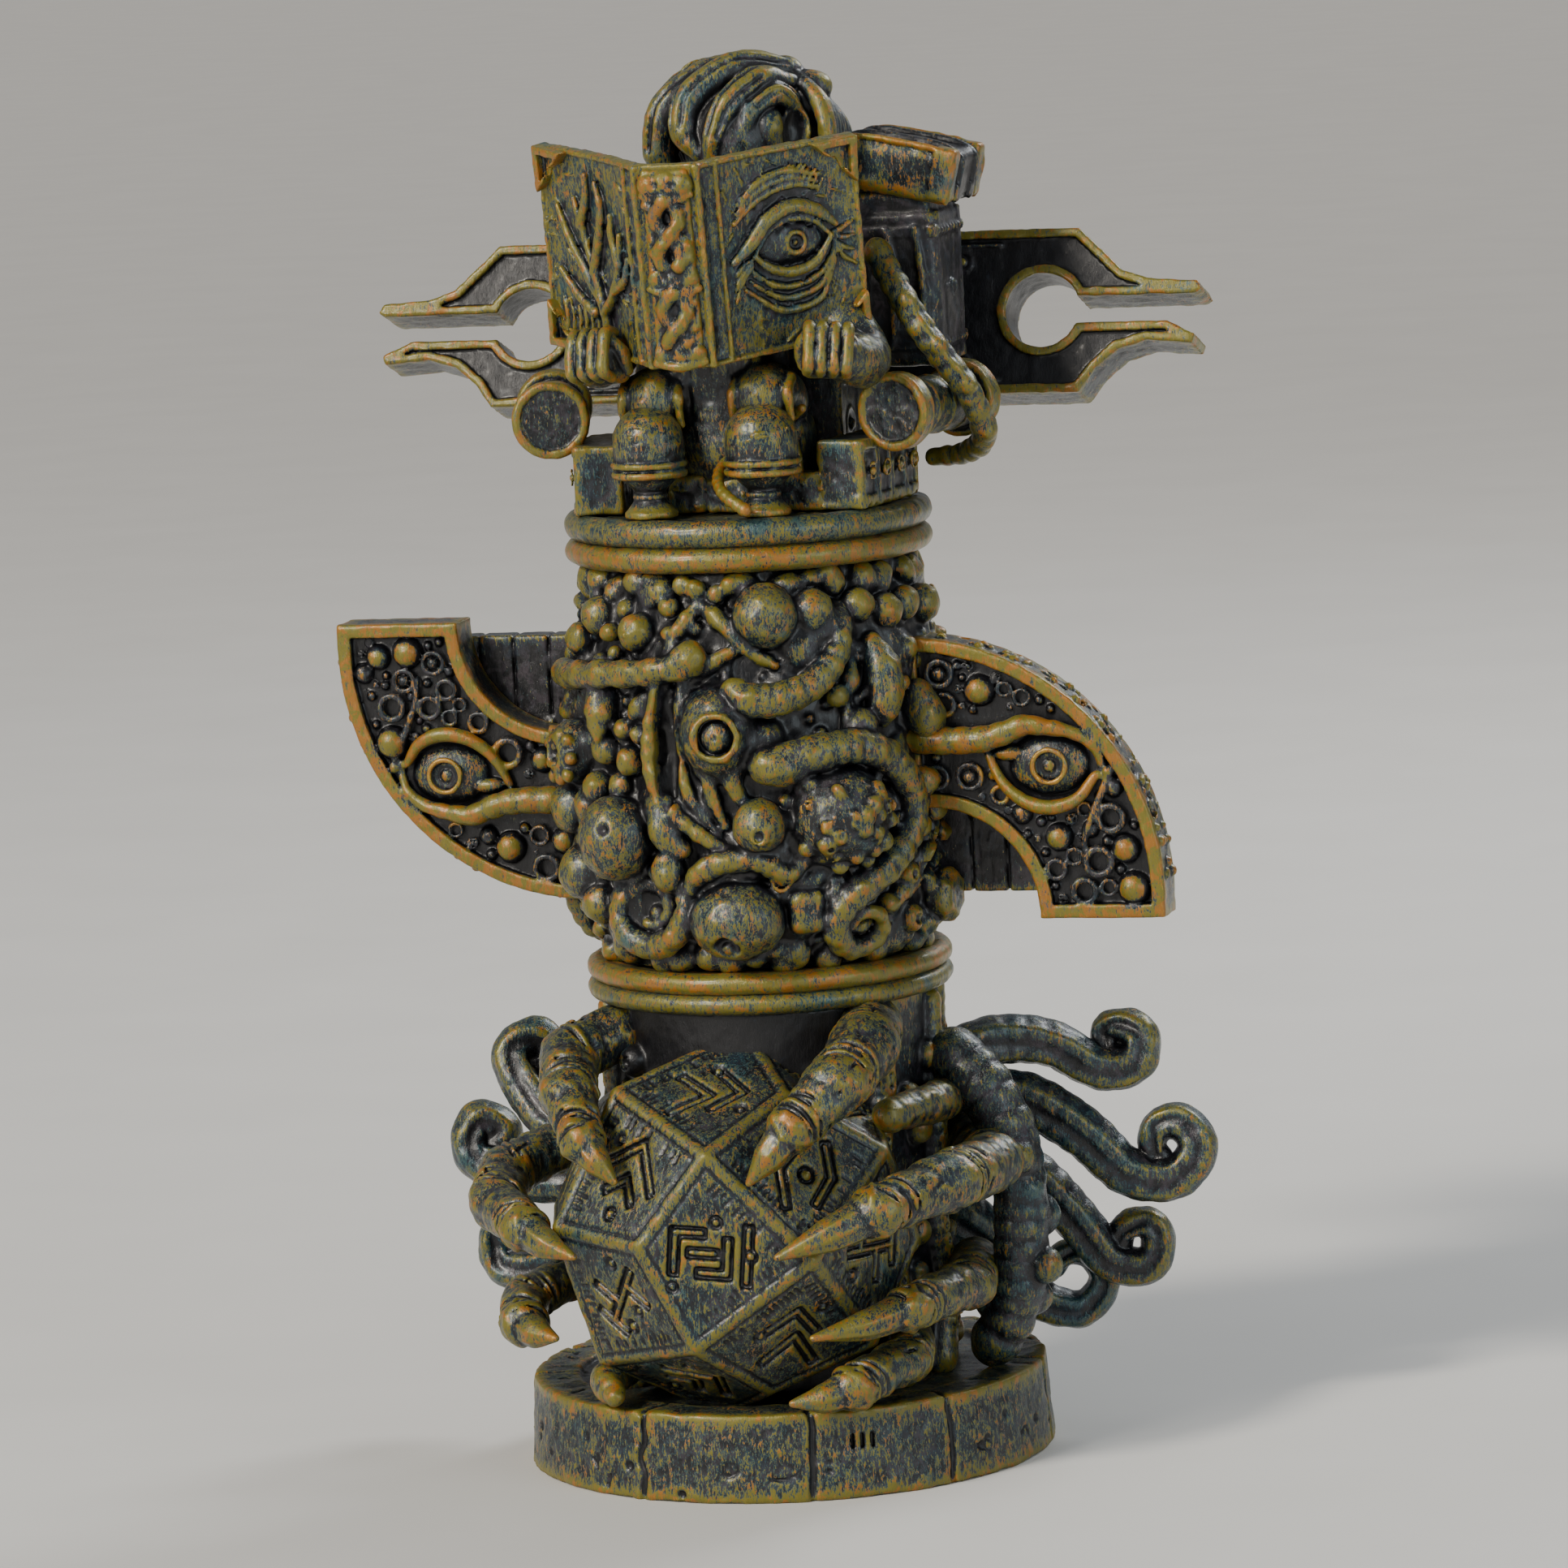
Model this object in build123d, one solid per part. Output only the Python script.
"""Stacked totem dice tower: base, middle and top sections that turn and lift off each other.

Millimetres. The origin is the centre of the plinth's underside, +Z is up, and the front,
where the crystal and the open book are, faces -Y.
"""

import os
from math import cos, radians, sin, sqrt

from build123d import *

# ---------------------------------------------------------------- driving dimensions
RING_R = 28.0            # outer radius of all four collar rings
SHAFT_R = 21.0           # dice shaft, wide enough for 16 mm dice
COUPLING_R = 24.0        # seat of the loose coupling rings
RUNNING = 0.05           # radial running clearance of a coupling ring in its seat
COUPLING_TOP_GAP = 0.2   # free height over a coupling ring

PLINTH_R = 40.5
PLINTH_TOP_R = 39.2
PLINTH_H = 13.4
LOWER_SEAM_Z = 74.9      # base meets middle
UPPER_SEAM_Z = 142.3     # middle meets top
BASE_COLLAR_H = 3.0
LOWER_COLLAR_H = 3.2
UPPER_COLLAR_H = 3.7
DECK_H = 4.2

COLUMN_R = 25.0
COLUMN_TOP_Z = LOWER_SEAM_Z - BASE_COLLAR_H
BARREL_BOTTOM_Z = LOWER_SEAM_Z + LOWER_COLLAR_H
BARREL_TOP_Z = UPPER_SEAM_Z - UPPER_COLLAR_H
DECK_TOP_Z = UPPER_SEAM_Z + DECK_H
DECK_SEAT_Z = UPPER_SEAM_Z + 2.2

CRYSTAL_CENTRE = (-2.0, -20.0, 39.0)
CRYSTAL_R = 30.0

OUTLET_W = 32.0
OUTLET_TOP_Z = 52.0
RAMP_T = 2.4
RAMP_SLOPE = 52.0

WING_FRONT_Y = -8.5
WING_T = 8.0
WING_RIM = 2.2
WING_RECESS = 1.6
WING_TOP_Z = 129.9
WING_OUTER_X = 64.1
WING_INNER_X = 44.6
WING_CENTRE_Z = 106.5    # the right wing is the left one turned half round at this height
PLANK_T = 5.0
PLANK_W = 5.2
PLANK_GAP = 0.4

FORK_LEAN = 18.0
FORK_T = 9.5
FORK_HOLE_X = 41.0
FORK_HOLE_R = 5.8
FORK_SLOT = 4.2
FORK_ORIGIN = (0.0, 27.0, 172.4)
FORK_PANEL_DEPTH = 1.0
FORK_RIM = 1.2

HOPPER_IN_X = 14.0
HOPPER_WALL = 2.0
HOPPER_FRONT_Y = 0.0
HOPPER_REAR_Y = 22.0
HOPPER_TOP_Z = 184.0

SCROLL_R = 4.4
SCROLL_CAP_R = 6.1
SCROLL_LEN = 24.0


# ---------------------------------------------------------------- shape helpers
def tube(outer_r, inner_r, low_z, high_z):
    """Plain upright ring about the Z axis."""
    height = high_z - low_z
    middle = (low_z + high_z) / 2
    return Pos(0, 0, middle) * (Cylinder(outer_r, height) - Cylinder(inner_r, height))


def block(low, high):
    """Box from its lowest to its highest corner."""
    size = [b - a for a, b in zip(low, high)]
    centre = [(a + b) / 2 for a, b in zip(low, high)]
    return Pos(*centre) * Box(*size)


def tapered_rod(start, end, start_r, end_r):
    """Straight round rod between two points, with a radius at each end."""
    way = Vector(*end) - Vector(*start)
    rod = Cylinder(start_r, way.length) if start_r == end_r else Cone(start_r, end_r, way.length)
    return Plane(origin=start, z_dir=way) * Pos(0, 0, way.length / 2) * rod


def ball(centre, way, radius):
    """Ball whose poles lie along the rod it joins."""
    return Plane(origin=centre, z_dir=way) * Sphere(radius)


def limb(points, radii):
    """Tapered limb: rods through the points, with a ball at each of them."""
    thinner = 0.97
    solid = ball(points[0], Vector(*points[1]) - Vector(*points[0]), radii[0])
    for start, end, start_r, end_r in zip(points, points[1:], radii, radii[1:]):
        solid += tapered_rod(start, end, start_r * thinner, end_r * thinner)
        solid += ball(end, Vector(*end) - Vector(*start), end_r)
    return solid


def even_radii(count, root_r, tip_r):
    """Radii that shrink evenly from the root to the tip."""
    return [root_r + (tip_r - root_r) * i / (count - 1) for i in range(count)]


def largest(shape):
    """The biggest solid of a shape that a cut may have left in pieces."""
    return max(shape.solids(), key=lambda solid: solid.volume)


def near(shape, other):
    """Whether the boxes round two shapes meet."""
    a, b = shape.bounding_box(), other.bounding_box()
    gaps = (a.min.X - b.max.X, b.min.X - a.max.X, a.min.Y - b.max.Y, b.min.Y - a.max.Y,
            a.min.Z - b.max.Z, b.min.Z - a.max.Z)
    return max(gaps) < 0


def clear_of(shape, *neighbours):
    """The shape with its neighbours cut away, so that they meet face to face."""
    for neighbour in neighbours:
        if near(shape, neighbour):
            shape = largest(shape - neighbour)
    return largest(shape)


def save(shape, node):
    export_step(shape, f"parts/{node}.step")


# ---------------------------------------------------------------- base section
def crystal_ball():
    """Polyhedron of 24 kite faces (deltoidal icositetrahedron), turned to show one kite to the front."""
    edge = sqrt(0.5)
    slope = (1 - edge) / edge
    normals = []
    for axis in range(3):
        for signs in range(8):
            normal = [slope, slope, slope]
            normal[axis] = 1.0
            for other in range(3):
                if signs & (1 << other):
                    normal[other] = -normal[other]
            normals.append(Vector(*normal))
    span = 4 * CRYSTAL_R
    solid = Sphere(CRYSTAL_R * 1.2)
    for normal in normals:
        face = Plane(origin=normal.normalized() * (CRYSTAL_R / normal.length), z_dir=normal)
        solid -= face * Pos(0, 0, span / 2) * Box(span, span, span)
    turned = crystal_turn() * solid
    return Pos(*CRYSTAL_CENTRE) * largest(turned)


def crystal_turn():
    """Rotation of the crystal: its axes as seen in the row frame."""
    first = Vector(0.617, -0.791, -0.044).normalized()
    second = Vector(-0.487, -0.419, 0.766)
    second = (second - first * first.dot(second)).normalized()
    return Location(Plane(origin=(0, 0, 0), x_dir=first, z_dir=first.cross(second)))


def ramp_plane():
    """Sliding face of the exit ramp: high at the front, falling to the rear outlet."""
    foot = (0, SHAFT_R, PLINTH_H + 1.0)
    slope = radians(RAMP_SLOPE)
    return Plane(origin=foot, x_dir=(1, 0, 0), z_dir=(0, sin(slope), cos(slope)))


def exit_ramp():
    half = 60.0
    plate = ramp_plane() * Pos(0, 0, -RAMP_T / 2) * Box(2 * SHAFT_R, 2 * half, RAMP_T)
    inside = Pos(0, 0, 40) * Cylinder(SHAFT_R, 2 * (40 - PLINTH_H))
    return largest(plate & inside)


def behind_ramp():
    """Everything on the dice side of the ramp, and the ramp itself."""
    reach = 200.0
    return ramp_plane() * Pos(0, 0, reach / 2 - RAMP_T) * Box(reach, reach, reach)


def polyhedral_crystal():
    return largest(crystal_ball() - behind_ramp())


def plinth():
    body = Cone(PLINTH_R, PLINTH_TOP_R, PLINTH_H)
    body = Pos(0, 0, PLINTH_H / 2) * body
    body = chamfer(body.edges().filter_by(GeomType.CIRCLE).sort_by(Axis.Z)[-1], 0.8)
    for angle in (-140, -104, -74, -40, 5, 52, 95, 150):
        notch = Rot(0, 0, angle) * Pos(PLINTH_R, 0, PLINTH_H / 2) * Box(1.6, 0.8, PLINTH_H)
        body -= notch
    return body


def base_column():
    body = tube(COLUMN_R, SHAFT_R, PLINTH_H, COLUMN_TOP_Z)
    arch_r = OUTLET_W / 2
    arch = block((-arch_r, 0, PLINTH_H), (arch_r, 40, OUTLET_TOP_Z - arch_r))
    arch += Pos(0, 20, OUTLET_TOP_Z - arch_r) * Rot(90, 0, 0) * Cylinder(arch_r, 40)
    return body - arch


def base_collar():
    ring = tube(RING_R, COUPLING_R, COLUMN_TOP_Z, LOWER_SEAM_Z)
    return fillet(outer_rims(ring), 1.3)


def outer_rims(ring):
    """The two outer circles of an upright ring."""
    rims = ring.edges().filter_by(GeomType.CIRCLE)
    return [edge for edge in rims if edge.radius > RING_R - 0.01]


# Hands round the crystal: the points run from the knuckle's root to the claw's tip.
LEFT_CLAWS = (
    ((-19.0, -14.0, 68.0), (-25.5, -21.5, 65.0), (-23.0, -33.5, 61.0), (-19.0, -41.5, 55.5),
     (-13.5, -45.0, 50.0)),
    ((-30.0, -3.0, 49.0), (-38.5, -14.0, 46.0), (-37.5, -25.0, 43.0), (-30.0, -37.0, 41.5),
     (-21.0, -43.0, 38.2)),
    ((-29.0, -3.0, 29.0), (-36.0, -17.0, 26.5), (-34.0, -27.0, 25.0), (-27.0, -34.5, 24.0)),
    ((-19.0, -24.0, 17.5), (-20.0, -31.5, 17.0), (-17.5, -37.0, 15.6)),
)
LEFT_CLAW_R = ((4.1, 4.3, 3.9, 3.0, 0.8), (3.6, 3.9, 3.9, 3.1, 0.8), (3.2, 3.5, 3.2, 0.8), (2.6, 2.7, 1.5))
RIGHT_CLAWS = (
    ((19.0, -14.0, 68.0), (20.5, -25.0, 66.5), (19.0, -36.5, 63.0), (13.5, -42.5, 57.5), (7.5, -46.0, 50.0)),
    ((27.0, 1.0, 54.5), (27.5, -9.0, 55.5), (23.0, -21.0, 55.5)),
    ((29.0, 4.0, 47.0), (35.5, -11.0, 46.5), (33.0, -26.0, 46.5), (25.0, -38.5, 44.5), (11.5, -47.0, 39.0)),
    ((29.5, 2.0, 28.5), (32.0, -14.0, 28.5), (27.0, -29.5, 28.0), (14.8, -41.0, 25.6)),
    ((22.0, -9.0, 18.5), (24.5, -24.0, 19.0), (19.5, -36.5, 17.5), (11.5, -42.5, 16.0)),
)
RIGHT_CLAW_R = (
    (4.6, 4.8, 4.4, 3.4, 0.8),
    (3.0, 3.0, 2.4),
    (4.0, 4.3, 4.3, 3.6, 0.8),
    (3.6, 3.6, 3.1, 0.8),
    (3.2, 3.4, 3.1, 0.8),
)

# Tentacles behind the hands: each runs from the column out to its curled tip.
RIGHT_TENTACLES = (
    ((23.5, 7.0, 57.5), (31.0, 12.0, 61.0), (39.5, 16.0, 60.0), (47.0, 18.5, 55.5), (52.5, 20.0, 56.5),
     (52.5, 21.0, 61.0), (48.0, 22.0, 61.5)),
    ((23.5, 10.0, 51.5), (35.0, 13.0, 52.0), (44.0, 15.0, 46.5), (51.0, 17.0, 39.5), (58.0, 18.5, 38.5),
     (61.5, 19.5, 43.0), (58.5, 20.0, 47.0)),
    ((24.5, 12.0, 43.0), (34.5, 16.0, 40.0), (41.5, 18.5, 32.5), (47.0, 20.0, 25.0), (53.0, 21.0, 24.5),
     (54.0, 21.5, 29.5)),
    ((25.0, 10.0, 35.0), (30.5, 17.0, 27.5), (34.5, 20.0, 19.5), (41.5, 22.0, 17.0), (45.0, 23.0, 21.5)),
    ((28.5, -1.0, 61.0), (35.5, -3.0, 53.0), (38.5, -3.5, 39.5), (37.0, -3.5, 24.0), (33.0, -2.5, 16.6)),
)
LEFT_TENTACLES = (
    ((-24.0, 9.0, 45.0), (-37.0, 11.0, 47.5), (-44.0, 14.0, 53.0), (-47.0, 16.0, 59.0), (-43.0, 18.0, 61.5),
     (-40.5, 18.0, 58.0)),
    ((-23.5, 13.0, 37.5), (-35.5, 15.0, 39.0), (-46.5, 16.5, 39.0), (-54.3, 17.2, 42.5), (-53.8, 18.3, 47.8),
     (-49.8, 18.9, 46.2)),
    ((-24.0, 11.0, 30.0), (-35.0, 15.0, 27.0), (-43.5, 17.5, 24.0), (-51.0, 19.0, 24.0), (-52.5, 19.5, 29.0)),
)
TENTACLE_R = ((3.9, 1.9), (4.2, 2.1), (4.0, 1.9), (3.8, 1.8), (4.2, 2.8))


# ---------------------------------------------------------------- middle section
def coupling_ring(low_z, high_z):
    """Loose ring that centres two sections on each other; dice fall through it."""
    return tube(COUPLING_R - RUNNING, SHAFT_R, low_z, high_z)


def collar(low_z, high_z):
    return fillet(outer_rims(tube(RING_R, COUPLING_R, low_z, high_z)), 1.4)


def barrel():
    """Bulging barrel with necks at both ends, bored for the dice shaft."""
    outline = ((25.5, BARREL_BOTTOM_Z), (28.6, 84.0), (29.8, 95.0), (30.2, 107.0), (29.6, 120.0),
               (28.4, 130.0), (26.0, 134.5), (26.0, BARREL_TOP_Z))
    with BuildSketch(Plane.XZ) as half:
        with BuildLine():
            Polyline(*outline)
            Polyline(outline[-1], (SHAFT_R, BARREL_TOP_Z), (SHAFT_R, BARREL_BOTTOM_Z), outline[0])
        make_face()
    return revolve(half.sketch, Axis.Z)


def baffle(rear_side, high_z):
    """Sloping shelf that covers one side of the shaft and throws dice to the other."""
    short_of_centre = 1.5
    thickness = 2.4
    slope = 33.0
    side = 1 if rear_side else -1
    plate = Pos(0, side * SHAFT_R, high_z) * Rot(side * slope, 0, 0) * Box(60, 80, thickness)
    bore = Pos(0, 0, high_z) * Cylinder(SHAFT_R, 100)
    keep = Pos(0, side * (50 + short_of_centre), high_z) * Box(100, 100, 100)
    return largest(plate & bore & keep)


def wing_outline(inset):
    """Quarter ring with a flat top edge, drawn in the XZ plane for the left side."""
    outer_r = 39.0
    inner_r = 16.4
    outer_c = (-WING_OUTER_X + outer_r, 125.7)
    inner_c = (-WING_INNER_X + inner_r, 129.2)
    with BuildSketch() as sketch:
        with Locations(outer_c):
            Circle(outer_r - inset)
        with Locations((outer_c[0] - 50, outer_c[1])):
            Rectangle(100, 100, mode=Mode.INTERSECT)
        with BuildSketch(mode=Mode.PRIVATE) as upper:
            low_x = -WING_OUTER_X + inset
            with Locations(((low_x - 10) / 2, (outer_c[1] + WING_TOP_Z - inset) / 2)):
                Rectangle(-10 - low_x, WING_TOP_Z - inset - outer_c[1])
        with BuildSketch(mode=Mode.PRIVATE) as lid:
            with Locations((-50, WING_TOP_Z - inset - 50)):
                Rectangle(100, 100)
        add(upper.sketch)
        add(lid.sketch, mode=Mode.INTERSECT)
        with Locations(inner_c):
            Circle(inner_r + inset, mode=Mode.SUBTRACT)
        with Locations(((inner_c[0] - inner_r - inset + 10) / 2, inner_c[1] + 10)):
            Rectangle(-(inner_c[0] - inner_r - inset) + 10, 20, mode=Mode.SUBTRACT)
    return sketch.sketch


def upright(sketch, front_y, thickness):
    """Plate with the given outline in XZ, its front face at front_y."""
    plate = extrude(Plane.XZ * sketch, amount=-thickness)
    return Pos(0, front_y, 0) * plate


def left_wing():
    plate = upright(wing_outline(0.0), WING_FRONT_Y, WING_T)
    panel = wing_outline(WING_RIM)
    plate -= upright(panel, WING_FRONT_Y, WING_RECESS)
    plate -= upright(panel, WING_FRONT_Y + WING_T - WING_RECESS, WING_RECESS)
    return plate


def barrel_blank():
    """Barrel without its bore, for trimming what stands on it."""
    return barrel() + Pos(0, 0, WING_CENTRE_Z) * Cylinder(SHAFT_R + 0.5, 62)


def planks():
    """Upright boards that close the quarter ring behind the left wing."""
    back_y = WING_FRONT_Y + WING_T
    groove = 0.8
    boards = block((-47.0, back_y, 110.0), (-27.0, back_y + PLANK_T, 126.8))
    for i in range(3):
        seam_x = -44.0 + i * (PLANK_W + PLANK_GAP)
        for low_y in (back_y, back_y + PLANK_T - groove):
            boards -= block((seam_x, low_y, 112.0), (seam_x + PLANK_GAP, low_y + groove, 127.0))
    return boards


def half_turned(shape):
    """The same shape turned half round about the wings' Y axis."""
    return Pos(0, 0, WING_CENTRE_Z) * Rot(0, 180, 0) * Pos(0, 0, -WING_CENTRE_Z) * shape


# ---------------------------------------------------------------- top section
def deck():
    disc = Pos(0, 0, (UPPER_SEAM_Z + DECK_TOP_Z) / 2) * Cylinder(RING_R, DECK_H)
    disc = fillet(outer_rims(disc), 1.6)
    disc -= Pos(0, 0, (UPPER_SEAM_Z + DECK_SEAT_Z) / 2) * Cylinder(COUPLING_R, DECK_SEAT_Z - UPPER_SEAM_Z)
    mouth = Pos(0, 0, DECK_TOP_Z) * Cylinder(SHAFT_R, 10)
    mouth &= block((-HOPPER_IN_X, HOPPER_FRONT_Y, DECK_SEAT_Z), (HOPPER_IN_X, 40, DECK_TOP_Z))
    return disc - mouth


def hopper():
    """Open chute behind the reader that leads dice down into the shaft."""
    wall = HOPPER_WALL
    outer_x = HOPPER_IN_X + wall
    outer = block((-outer_x, HOPPER_FRONT_Y - wall, DECK_TOP_Z), (outer_x, HOPPER_REAR_Y, HOPPER_TOP_Z))
    inner = block((-HOPPER_IN_X, HOPPER_FRONT_Y, DECK_TOP_Z),
                  (HOPPER_IN_X, HOPPER_REAR_Y - wall, HOPPER_TOP_Z))
    bracket = block((-HOPPER_IN_X, HOPPER_REAR_Y, 161.0), (HOPPER_IN_X, 40.0, HOPPER_TOP_Z - 1))
    return largest(outer - inner + bracket - behind_fork())


def fork_plane():
    """Front face of the fork bar: X stays level and the plate leans back."""
    lean = radians(FORK_LEAN)
    return Plane(origin=FORK_ORIGIN, x_dir=(1, 0, 0), z_dir=(0, -cos(lean), sin(lean)))


def behind_fork():
    reach = 200.0
    return fork_plane() * Pos(0, 0, -reach / 2) * Box(reach, reach, reach)


def fork_outline(inset):
    """Bar with a pair of open-jawed keyhole ends, in the fork plane."""
    right = ((0, 12.8), (46.5, 12.8), (53.5, 5.9), (57.5, 4.5), (65.2, 4.0), (66.0, 2.6), (65.0, 2.0),
             (47.0, 2.0), (47.0, -2.2), (60.5, -2.2), (65.0, -4.4), (64.6, -5.8), (57.5, -5.2), (53.0, -6.5),
             (49.6, -9.4), (47.0, -13.0), (0, -13.0))
    with BuildSketch() as sketch:
        with BuildLine():
            Polyline(*right, close=True)
        make_face()
        mirror(about=Plane.YZ)
        if inset:
            offset(amount=-inset)
        with Locations((FORK_HOLE_X, 0), (-FORK_HOLE_X, 0)):
            Circle(FORK_HOLE_R + inset, mode=Mode.SUBTRACT)
        slot_x = FORK_HOLE_X + 6
        with Locations((slot_x, -0.1), (-slot_x, -0.1)):
            Rectangle(14, FORK_SLOT + 2 * inset, mode=Mode.SUBTRACT)
    return sketch.sketch


def fork_bar():
    bar = extrude(fork_plane() * fork_outline(0), amount=-FORK_T)
    panel = extrude(fork_plane() * fork_outline(FORK_RIM), amount=-FORK_PANEL_DEPTH)
    for piece in panel.solids():
        bar -= piece
    return largest(bar)


def robe():
    """Seated reader's robe: back, lap and two knees, in front of the hopper."""
    front_y = HOPPER_FRONT_Y - HOPPER_WALL
    back = limb(((0.5, -7.5, 158.0), (1.0, -8.0, 172.0), (1.5, -8.0, 184.0)), (9.0, 9.5, 7.0))
    back += limb(((-9.0, -8.0, 160.0), (-9.0, -18.0, 164.5)), (5.0, 4.6))
    back += limb(((8.0, -8.0, 160.0), (8.0, -18.0, 164.5)), (5.5, 5.0))
    back += block((-13.0, -12.0, DECK_TOP_Z), (13.0, front_y, 160.0))
    keep = block((-40, -60, DECK_TOP_Z), (40, front_y, 220))
    return largest(back & keep)


def head():
    """Head with swept hair, above the hopper's front wall."""
    skull = Pos(2.5, -1.0, 200.0) * Sphere(11.5)
    hair = limb(((-3.0, -4.0, 205.5), (4.0, 1.0, 207.5), (11.0, 2.0, 203.5)), (7.0, 7.5, 6.5))
    neck = limb(((1.8, -8.0, 184.0), (2.5, -2.0, 194.0)), (6.0, 6.5))
    return largest(skull + hair + neck)


def arm(side, shoulder, elbow, wrist):
    """Sleeve from shoulder to wrist with a square fist that grips the book."""
    sleeve = limb((shoulder, elbow, wrist), (4.6, 4.4, 3.4))
    fist = Pos(*wrist) * Rot(-20, 0, side * 18) * Box(7.6, 8.4, 7.6)
    return sleeve + fist


def book():
    """Open book, spine to the front; local frame: X across, Y back, Z up the spine."""
    cover_l = 27.0
    half_spine = 4.6
    cover_t = 1.6
    height = 31.0
    page_margin = 1.2
    fan = 42.0
    page_l = cover_l - 2 * page_margin
    page_h = height - 2 * page_margin
    lean = Pos(-1.4, -30.0, 184.6) * Rot(9.0, 0, 0)
    cover = Pos(0, cover_t / 2, 0) * Box(2 * half_spine, cover_t, height)
    pages = None
    for side in (1, -1):
        turn = Pos(side * half_spine, 0, 0) * Rot(0, 0, side * fan)
        cover += turn * Pos(side * cover_l / 2, cover_t / 2, 0) * Box(cover_l, cover_t, height)
        sheet = turn * Pos(side * page_l / 2, cover_t + 2.0, 0) * Box(page_l, 4.0, page_h)
        pages = sheet if pages is None else pages + sheet
    pages += Pos(0, cover_t + 2.6, 0) * Box(2 * half_spine, 5.2, page_h)
    pages = largest(pages - cover)
    return lean * cover, lean * pages


def lamp_post(x, y, bulb_r):
    """Turned post: flared foot, thin neck, collar band and a domed bulb."""
    foot_z = DECK_TOP_Z
    post = Pos(0, 0, foot_z + 1.4) * Cone(4.0, 2.3, 2.8)
    post += Pos(0, 0, foot_z + 3.6) * Cone(2.3, 3.0, 1.8)
    post += Pos(0, 0, foot_z + 5.8) * Cone(3.8, bulb_r, 2.8)
    post += Pos(0, 0, foot_z + 9.3) * Cylinder(bulb_r, 4.4)
    post += Pos(0, 0, foot_z + 11.4) * Sphere(bulb_r * 0.99)
    return Pos(x, y, 0) * post


def post_cord(x, y, bulb_r):
    """Thin tentacle that winds from the deck round the right post's bulb."""
    cord_r = 0.9
    points = []
    for i in range(9):
        turn = radians(-100 - 28 * i)
        reach = bulb_r + cord_r + 0.15
        points.append((x + reach * cos(turn), y + reach * sin(turn), DECK_TOP_Z + 1.5 + 1.75 * i))
    return limb(points, even_radii(len(points), cord_r, 0.7))


def scroll_case(side):
    """Round case lying on the deck's edge with a flared cap at each end."""
    way = Vector(side * sin(radians(15)), cos(radians(15)), 0)
    start = Vector(side * 26.5, -13.0, 160.8)
    axis = Plane(origin=start, z_dir=way)
    case = axis * Pos(0, 0, SCROLL_LEN / 2) * Cylinder(SCROLL_R, SCROLL_LEN)
    for place in (1.6, SCROLL_LEN - 1.6):
        case += axis * Pos(0, 0, place) * Cylinder(SCROLL_CAP_R, 3.2)
    return case


def side_block(side):
    """Upright book on the deck's edge that carries a scroll case."""
    centre_x = side * 20.5
    body = block((centre_x - 4.0, -16.0, DECK_TOP_Z), (centre_x + 4.0, 6.0, 157.0))
    body = Rot(0, 0, side * -8) * body
    on_deck = Pos(0, 0, 160) * Cylinder(RING_R - 0.4, 40)
    return body & on_deck


def middle_blocks():
    return block((-8.0, -15.5, DECK_TOP_Z), (16.0, -12.0, 152.4))


def backpack():
    body = block((HOPPER_IN_X + HOPPER_WALL, 2.0, 166.0), (31.0, 20.0, 190.0))
    body = fillet(body.edges().filter_by(Axis.Z), 2.5)
    return body


def backpack_lid():
    lid = Rot(0, 12, 0) * Box(18.5, 20.0, 9.0)
    lid = fillet(lid.edges().filter_by(Axis.Y), 1.8)
    return Pos(25.0, 11.0, 196.2) * lid


SHOULDER_STRAP = ((22.5, -1.0, 184.0), (27.0, -3.5, 176.5), (31.5, -4.0, 169.5), (35.5, -2.5, 163.5),
                  (37.2, 1.5, 156.0), (33.0, 6.5, 152.6), (27.5, 9.0, 151.8))


# ---------------------------------------------------------------- write every node
def build_base():
    crystal = polyhedral_crystal()
    whole_crystal = crystal_ball()
    stand = largest(plinth() - whole_crystal)
    ramp = exit_ramp()
    column = clear_of(base_column(), whole_crystal, stand, ramp)
    column_core = Pos(0, 0, (PLINTH_H + COLUMN_TOP_Z) / 2) * Cylinder(COLUMN_R, COLUMN_TOP_Z - PLINTH_H)
    save(stand, "plinth")
    save(crystal, "polyhedral_crystal")
    save(ramp, "exit_ramp")
    save(column, "base_column")
    save(base_collar(), "base_collar")
    under_collar = tube(2 * RING_R, 0.5, COLUMN_TOP_Z, LOWER_SEAM_Z)
    placed = [whole_crystal, column_core, plinth(), under_collar]
    for side, claws, radii in (("left", LEFT_CLAWS, LEFT_CLAW_R), ("right", RIGHT_CLAWS, RIGHT_CLAW_R)):
        for i, (points, claw_r) in enumerate(zip(claws, radii), 1):
            claw = clear_of(limb(points, claw_r), *placed)
            save(claw, f"{side}_claw_{i}")
            placed.append(claw)
    for side, group in (("left", LEFT_TENTACLES), ("right", RIGHT_TENTACLES)):
        for i, (points, ends) in enumerate(zip(group, TENTACLE_R), 1):
            arm_solid = clear_of(limb(points, even_radii(len(points), *ends)), *placed)
            save(arm_solid, f"{side}_tentacle_{i}")
            placed.append(arm_solid)


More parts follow.
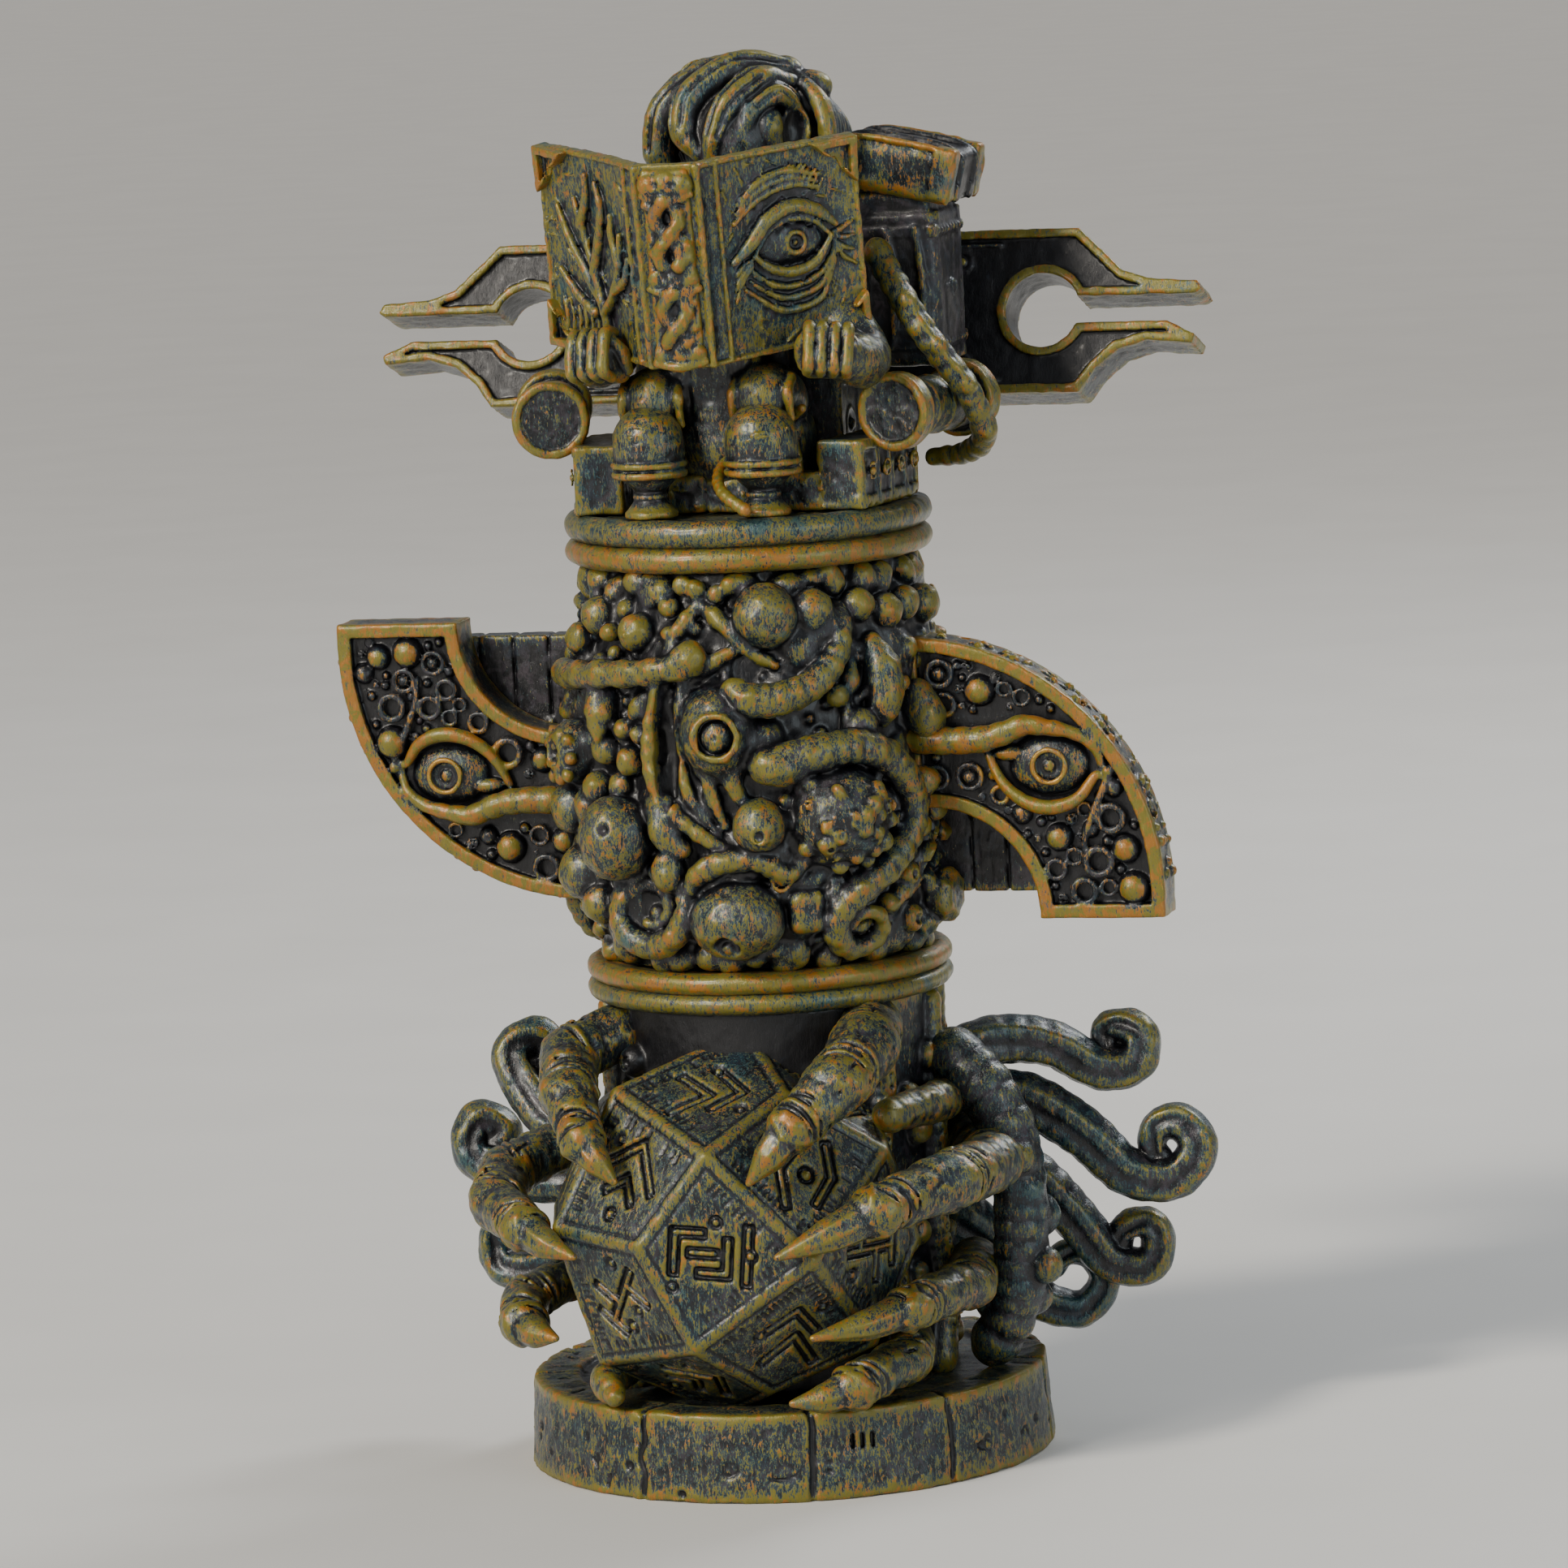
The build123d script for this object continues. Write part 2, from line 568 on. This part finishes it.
def build_middle():
    save(coupling_ring(COLUMN_TOP_Z, BARREL_BOTTOM_Z - COUPLING_TOP_GAP), "lower_coupling_ring")
    save(collar(LOWER_SEAM_Z, BARREL_BOTTOM_Z), "lower_barrel_collar")
    whole = barrel()
    save(largest(whole & block((-60, -60, 60), (60, 0, 160))), "barrel_front")
    save(largest(whole & block((-60, 0, 60), (60, 60, 160))), "barrel_rear")
    save(collar(BARREL_TOP_Z, UPPER_SEAM_Z), "upper_barrel_collar")
    save(baffle(False, 129.0), "upper_baffle")
    save(baffle(True, 105.0), "lower_baffle")
    core = barrel_blank()
    for shape, node in ((left_wing(), "wing"), (planks(), "wing_planks")):
        save(clear_of(shape, core), f"left_{node}")
        save(clear_of(half_turned(shape), core), f"right_{node}")
    save(coupling_ring(BARREL_TOP_Z, DECK_SEAT_Z - COUPLING_TOP_GAP), "upper_coupling_ring")


def build_top():
    chute = hopper()
    bar = fork_bar()
    cloth = robe()
    cover, pages = book()
    left_post = lamp_post(-9.3, -20.5, 5.6)
    right_post = lamp_post(8.2, -20.5, 5.7)
    pack = backpack()
    done = []
    order = (
        ("deck", deck()),
        ("hopper", chute),
        ("fork_bar", bar),
        ("book_cover", cover),
        ("book_pages", pages),
        ("left_lamp_post", left_post),
        ("right_lamp_post", right_post),
        ("post_cord", post_cord(8.2, -20.5, 5.7)),
        ("left_scroll_case", scroll_case(-1)),
        ("right_scroll_case", scroll_case(1)),
        ("left_side_block", side_block(-1)),
        ("right_side_block", side_block(1)),
        ("middle_blocks", middle_blocks()),
        ("backpack", pack),
        ("backpack_lid", backpack_lid()),
        ("robe", cloth),
        ("head", head()),
        ("left_arm", arm(-1, (-9.0, -8.0, 180.0), (-18.0, -11.0, 170.0), (-15.5, -22.5, 170.8))),
        ("right_arm", arm(1, (11.0, -8.0, 180.0), (22.0, -11.0, 169.0), (19.5, -22.5, 170.8))),
        ("shoulder_strap", limb(SHOULDER_STRAP, even_radii(7, 2.2, 1.5))),
    )
    for node, shape in order:
        solid = clear_of(shape, *done) if done else largest(shape)
        save(solid, node)
        done.append(solid)


os.makedirs("parts", exist_ok=True)
build_base()
build_middle()
build_top()
